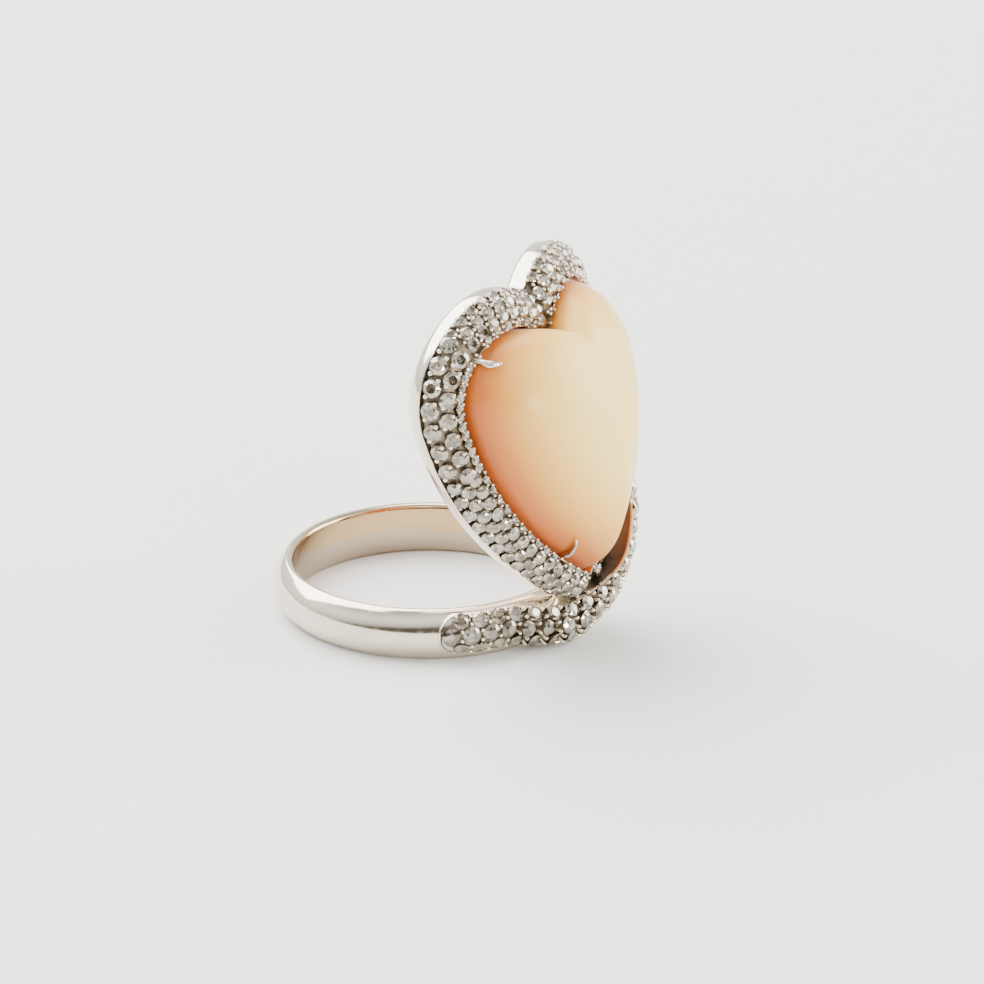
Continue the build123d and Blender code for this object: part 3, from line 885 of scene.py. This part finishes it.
def pave():
    for name, maker, node in (("heart", limb_pave, "heart_pave"), ("ribbon", ribbon_pave, "ribbon_pave")):
        stones, beads = [], []
        maker(stones, beads)
        verts, faces = [], []
        for k, (origin, facing, running, radius) in enumerate(stones):
            tilt = running * (STONE_TILT * sin(k * 2.4)) + facing.cross(running) * (STONE_TILT * cos(k * 3.7))
            normal = (facing + tilt).normalized()
            add_brilliant(verts, faces, origin - facing * STONE_SINK, normal, running, radius, k * 0.7)
        piece = make_object(name + "_brilliants", verts, faces, diamond, sharp=-1.0)
        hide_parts(node)
        verts, faces = [], []
        for origin, facing, running, radius in beads:
            add_bead(verts, faces, origin + facing * BEAD_PROUD, facing, running, radius, BEAD_POST)
        grains = make_object(name + "_beads", verts, faces, bead_gold, sharp=60.0)
        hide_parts("setting")
        print(name, len(stones), "stones", len(beads), "beads")


for piece in (band(), frame_metal(), frame_bed(), ribbon_metal(), ribbon_bed(), ribbon_shade_sheet(), claws()):
    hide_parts("setting")
stone = heart_stone()
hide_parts("heart_stone")
pave()


# ---- Stage, light and camera --------------------------------------------------------
def floor():
    material, nodes, links, shader = new_material("pale_table")
    coords = nodes.new("ShaderNodeTexCoord")
    cloud = noise(nodes, links, coords, 14.0)
    tint = ramp(nodes, links, cloud.outputs["Fac"], (
        (0.3, (0.79, 0.80, 0.785)), (0.7, (0.815, 0.82, 0.80))))
    links.new(tint.outputs["Color"], shader.inputs["Base Color"])
    shader.inputs["Roughness"].default_value = 0.55
    mesh = bpy.data.meshes.new("floor")
    size, steps = 1.5, 12
    work = bmesh.new()
    bmesh.ops.create_grid(work, x_segments=steps, y_segments=steps, size=size)
    work.to_mesh(mesh)
    work.free()
    mesh.materials.append(material)
    piece = bpy.data.objects.new("floor", mesh)
    bpy.context.scene.collection.objects.link(piece)


def area_light(name, place, target, size, power, colour):
    data = bpy.data.lights.new(name, "AREA")
    data.shape = "RECTANGLE"
    data.size, data.size_y = size
    data.energy = power
    data.color = colour
    lamp = bpy.data.objects.new(name, data)
    lamp.location = place
    lamp.rotation_euler = (Vector(target) - Vector(place)).to_track_quat("-Z", "Y").to_euler()
    bpy.context.scene.collection.objects.link(lamp)


def world():
    made = bpy.data.worlds.new("studio")
    made.use_nodes = True
    nodes, links = made.node_tree.nodes, made.node_tree.links
    background = nodes["Background"]
    coords = nodes.new("ShaderNodeTexCoord")
    # Height of a direction, more on the left of the room and less on the right
    height = nodes.new("ShaderNodeVectorMath")
    height.operation = "DOT_PRODUCT"
    height.inputs[1].default_value = (-0.30, 0.15, 1.0)
    links.new(coords.outputs["Generated"], height.inputs[0])
    shade = ramp(nodes, links, height.outputs["Value"], (
        (0.0, (0.10, 0.09, 0.08)),
        (0.06, (0.17, 0.155, 0.14)),
        (0.17, (0.72, 0.70, 0.67)),
        (0.45, (1.18, 1.17, 1.15)),
        (0.62, (1.20, 1.20, 1.19)),
        (0.92, (0.50, 0.50, 0.50)),
    ))
    links.new(shade.outputs["Color"], background.inputs["Color"])
    background.inputs["Strength"].default_value = 1.6
    bpy.context.scene.world = made


AZIMUTH, ELEVATION, DISTANCE = radians(31.0), radians(22.88), 330.0
LENS, SENSOR = 188.1, 36.0
AIM_RIGHT, AIM_UP = 4.14, 7.06


def camera():
    level = Vector((sin(AZIMUTH), -cos(AZIMUTH), 0))
    right = Vector((cos(AZIMUTH), sin(AZIMUTH), 0))
    back = level * cos(ELEVATION) + Vector((0, 0, sin(ELEVATION)))
    upward = Vector((0, 0, cos(ELEVATION))) - level * sin(ELEVATION)
    data = bpy.data.cameras.new("camera")
    data.lens, data.sensor_width = LENS, SENSOR
    data.clip_start, data.clip_end = 0.01, 10.0
    lens = bpy.data.objects.new("camera", data)
    lens.location = back * DISTANCE * MM
    aim = (right * AIM_RIGHT + upward * AIM_UP) * MM
    lens.rotation_euler = (aim - lens.location).to_track_quat("-Z", "Y").to_euler()
    bpy.context.scene.collection.objects.link(lens)
    bpy.context.scene.camera = lens


floor()
world()
area_light("window", (-0.45, 0.10, 0.60), (0, 0, 0.01), (0.9, 0.9), 24.0, (1.0, 0.985, 0.96))
area_light("side", (0.50, 0.45, 0.22), (0, 0, 0.01), (0.5, 0.5), 8.0, (1.0, 1.0, 0.98))
area_light("front", (0.57, -0.22, 0.075), (0.012, -0.004, 0.015), (0.09, 0.14), 2.0, (1.0, 0.98, 0.94))
camera()
